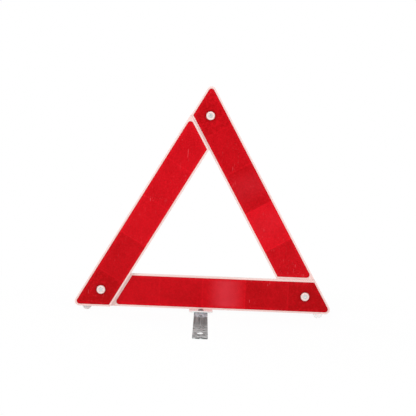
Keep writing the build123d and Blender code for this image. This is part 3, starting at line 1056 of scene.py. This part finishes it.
def make_bracket(material):
    """Plastic flange with rounded front corners, and its tab up the arm's back."""
    low, high = (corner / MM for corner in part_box("stand_bracket"))
    top = tray_low.z

    def plan(inset, z, front, back, radius):
        corners = [(low.x + inset, front + inset), (high.x - inset, front + inset),
                   (high.x - inset, back - inset), (low.x + inset, back - inset)]
        return [(x, y, z) for x, y in rounded_polygon(corners, [radius, radius, SMALL_EDGE, SMALL_EDGE])]

    def slab(z_low, z_high, front, back, radius, edge):
        rings = [plan(inset, z_low + drop, front, back, radius) for inset, drop in reversed(quarter(edge))]
        rings += [plan(inset, z_high - drop, front, back, radius) for inset, drop in quarter(edge)]
        return loft(rings, "slab")

    flange = slab(low.z, top, low.y, high.y, FLANGE_RADIUS, FLANGE_EDGE)
    tab = slab(low.z + TAB_LAP, high.z, high.y - TAB_THICKNESS, high.y, SMALL_EDGE, TAB_EDGE)
    bracket = joined(flange, [tab], "bracket", "UNION")
    rivet_low, rivet_high = (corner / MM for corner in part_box("stand_rivet"))
    cutters = [drill(STAND_SHANK_RADIUS + SEAT_FIT, low.z, top, (rivet_low.x + rivet_high.x) / 2, 0)]
    for side in (-1, 1):
        hole = drill(STAKE_RADIUS + SEAT_FIT, 0, TAB_THICKNESS, chamfer=STAKE_HOLE_CHAMFER)
        lift = (high.z + top) / 2
        middle = (low.x + high.x) / 2 + side * STAKE_SPACING / 2
        hole.transform(Matrix.Translation((middle, high.y, lift)) @ Matrix.Rotation(pi / 2, 4, "X"))
        cutters.append(hole)
    bracket = joined(bracket, cutters, "bracket")
    # Painted red light on the flange, below the tray
    flange_level = top + BRACKET_LEVEL_SLACK
    store(bracket, "red_bounce", "POINT", [float(vertex.co.z < flange_level) for vertex in bracket.vertices])
    place_piece("bracket", bracket, Matrix(), "bottom_arm", material, ["stand_bracket"])


def smooth_step(value, low, high):
    """Smooth rise from 0 at low to 1 at high."""
    share = min(1, max(0, (value - low) / (high - low)))
    return share * share * (3 - 2 * share)


def strip_mesh(low, high):
    """Steel strip: flat middle, joggles, sloping legs with a pressed bead, and flat feet."""
    width = high.x - low.x
    middle = (low.x + high.x) / 2
    reach = high.y
    rise = high.z - STRIP_THICKNESS
    columns = [-1 + 2 * index / STRIP_COLUMNS for index in range(STRIP_COLUMNS + 1)]

    def underside(y):
        away = abs(y)
        step = smooth_step(away, STRIP_CENTRE_HALF, STRIP_STEP_END)
        leg = STRIP_LEG_RISE * (1 - smooth_step(away, STRIP_STEP_END - STRIP_LEG_BLEND, STRIP_LEG_END))
        return rise * (1 - step) + leg * step

    def bead(x, y):
        risen = smooth_step(abs(y), BEAD_START - BEAD_FADE, BEAD_START + BEAD_FADE)
        over = smooth_step(abs(y), BEAD_END - BEAD_FADE, BEAD_END + BEAD_FADE)
        across = min(1, abs(x) / BEAD_HALF_WIDTH)
        return BEAD_HEIGHT * risen * (1 - over) * (1 + cos(pi * across)) / 2

    def ring(y, shrink=0.0):
        corner = max(0, abs(y) - (reach - STRIP_CORNER)) / STRIP_CORNER
        side = width / 2 - STRIP_CORNER * (1 - sqrt(1 - corner * corner))
        base = underside(y)
        flat = side - STRIP_EDGE
        top = [(flat * c, base + STRIP_THICKNESS - shrink + bead(flat * c, y)) for c in reversed(columns)]
        bottom = [(flat * c, base + shrink + bead(flat * c, y)) for c in columns]
        right = [(side, base + STRIP_EDGE + shrink), (side, base + STRIP_THICKNESS - STRIP_EDGE - shrink)]
        left = [(-x, z) for x, z in reversed(right)]
        return [(middle + x, y, z) for x, z in bottom + right + top + left]

    steps = int(2 * reach / STRIP_STATION)
    stations = [-reach + 2 * reach * index / steps for index in range(1, steps)]
    shares = [index / STRIP_CORNER_STEPS for index in range(STRIP_CORNER_STEPS)]
    corners = [reach - STRIP_CORNER * (1 - sin(pi / 2 * share)) for share in shares]
    stations = [y for y in stations if abs(y) < reach - STRIP_CORNER] + corners + [-y for y in corners]
    rings = [ring(-reach, STRIP_EDGE)] + [ring(y) for y in sorted(stations)] + [ring(reach, STRIP_EDGE)]
    return loft(rings, "strip")


def in_peg_hole(point, centre, reach):
    """Whether a point lies on the wall or the chamfer of a peg hole."""
    away = hypot(point.x - centre, abs(point.y) - (reach - PEG_HOLE_INSET))
    return away < PEG_HOLE_RADIUS + HOLE_CHAMFER


def make_strip():
    """Strip on its own body, with its pivot hole and a peg hole near each end."""
    low, high = (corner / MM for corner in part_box("stand_strip"))
    centre = (low.x + high.x) / 2
    cutters = [drill(PIVOT_HOLE_RADIUS, high.z - STRIP_THICKNESS, high.z, centre, 0)]
    for side in (-1, 1):
        cutters.append(drill(PEG_HOLE_RADIUS, 0, STRIP_THICKNESS, centre, side * (high.y - PEG_HOLE_INSET)))
    strip = joined(strip_mesh(low, high), cutters, "strip")
    # Faces of the peg holes, which get the painted highlight
    punched_highlight = [float(in_peg_hole(face.center, centre, high.y)) for face in strip.polygons]
    store(strip, "punched_highlight", "FACE", punched_highlight)
    place_piece("strip", strip, Matrix(), "stand", zinc_strip(centre * MM), ["stand_strip"])


def pin_profile(low, high):
    """Section of the stand's rivet, from its flat foot over its shank to its dome."""
    ball = (STAND_HEAD_RADIUS ** 2 + STAND_HEAD_HEIGHT ** 2) / (2 * STAND_HEAD_HEIGHT)
    dome = []
    for step in range(STAND_DOME_STEPS):
        radius = STAND_HEAD_RADIUS * cos(pi / 2 * step / STAND_DOME_STEPS)
        dome.append((radius, high - ball + sqrt(ball * ball - radius * radius)))
    foot_top = low + STAND_FOOT_HEAD_HEIGHT
    return ([(0, low)] + shoulder(STAND_FOOT_HEAD_RADIUS, low, STAND_FOOT_HEAD_EDGE, down=1)[::-1]
            + [(STAND_FOOT_HEAD_RADIUS, foot_top), (STAND_SHANK_RADIUS, foot_top)]
            + [(STAND_SHANK_RADIUS, high - STAND_HEAD_HEIGHT)] + dome + [(0, high)])


def make_stand_pin():
    """Rivet and washer of the stand, which stay with the bottom arm when the strip turns."""
    low, high = (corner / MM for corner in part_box("stand_rivet"))
    ring_low, ring_high = (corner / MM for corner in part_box("stand_washer"))
    centre = (ring_low.x + ring_high.x) / 2
    radius = (ring_high.x - ring_low.x) / 2
    ring = ring_profile(STAND_SHANK_RADIUS + SEAT_FIT, radius, ring_low.z, ring_high.z)
    steel = stand_steel((centre, 0, 0))
    for name, profile, node in (("stand_pin", pin_profile(low.z, high.z), "stand_rivet"),
                                ("stand_ring", ring, "stand_washer")):
        place_piece(name, turned(profile, name, centre, 0), Matrix(), "bottom_arm", steel,
                    [node])


# -------------------- stage

def make_floor():
    """Pale floor that fades to white away from the object."""
    tree = Finish("floor")
    grid = bmesh.new()
    bmesh.ops.create_circle(grid, cap_ends=True, radius=GROUND_RADIUS, segments=96)
    mesh = bpy.data.meshes.new("floor")
    grid.to_mesh(mesh)
    grid.free()
    path = tree.node("ShaderNodeLightPath")
    seen = path.value("Is Camera Ray") + path.value("Is Glossy Ray") + path.value("Is Transmission Ray")
    x, y, _ = tree.axes(tree.place())
    away = ((x * x + y * y) ** 0.5).ramp(*GROUND_FADE, GROUND_GLOW, 1.0)
    diffuse = tree.node("ShaderNodeBsdfDiffuse", {}, {"Color": GROUND_GREY}).value(0)
    glow = tree.node("ShaderNodeEmission", {}, {"Color": PURE_WHITE, "Strength": 1.0}).value(0)
    mixed = {0: (seen * away).clamped(), 1: diffuse, 2: glow}
    mesh.materials.append(tree.surface("ShaderNodeMixShader", mixed))
    floor = bpy.data.objects.new("floor", mesh)
    bpy.context.scene.collection.objects.link(floor)


def make_world():
    """White surroundings for the camera, softer light on the object."""
    world = bpy.data.worlds.new("studio")
    bpy.context.scene.world = world
    world.use_nodes = True
    tree = Tree(world.node_tree)
    seen = tree.node("ShaderNodeLightPath").value("Is Camera Ray")
    soft, full = (
        tree.node("ShaderNodeBackground", {}, {"Color": PURE_WHITE, "Strength": strength}).value(0)
        for strength in (SKY_LIGHT, 1.0))
    both = tree.node("ShaderNodeMixShader", {}, {0: seen, 1: soft, 2: full})
    tree.node("ShaderNodeOutputWorld", {}, {"Surface": both.value(0)})


def make_lamp(name, place, size, power):
    """Square soft lamp that points at the middle of the object."""
    light = bpy.data.lights.new(name, "AREA")
    light.size = size
    light.energy = power
    lamp = bpy.data.objects.new(name, light)
    lamp.location = place
    lamp.rotation_euler = (Vector(LAMP_AIM) - Vector(place)).to_track_quat("-Z", "Y").to_euler()
    bpy.context.scene.collection.objects.link(lamp)


def make_camera():
    """Camera a little above the object's middle, slightly turned."""
    camera = bpy.data.objects.new("camera", bpy.data.cameras.new("camera"))
    camera.data.lens = CAMERA_LENS
    camera.data.sensor_width = CAMERA_SENSOR
    camera.location = CAMERA_PLACE
    camera.rotation_euler = [radians(angle) for angle in CAMERA_TURN]
    bpy.context.scene.collection.objects.link(camera)
    bpy.context.scene.camera = camera


# -------------------- the scene

abs_plastic = white_abs()
milky = milky_plastic()
make_trays(abs_plastic)
make_reflectors(red_plate())
make_pivots(abs_plastic)
make_snap(abs_plastic)
make_feet(milky)
make_bracket(milky)
make_strip()
make_stand_pin()

make_floor()
make_world()
for lamp in LAMPS:
    make_lamp(*lamp)
make_camera()
bpy.context.scene.view_settings.view_transform = "Standard"
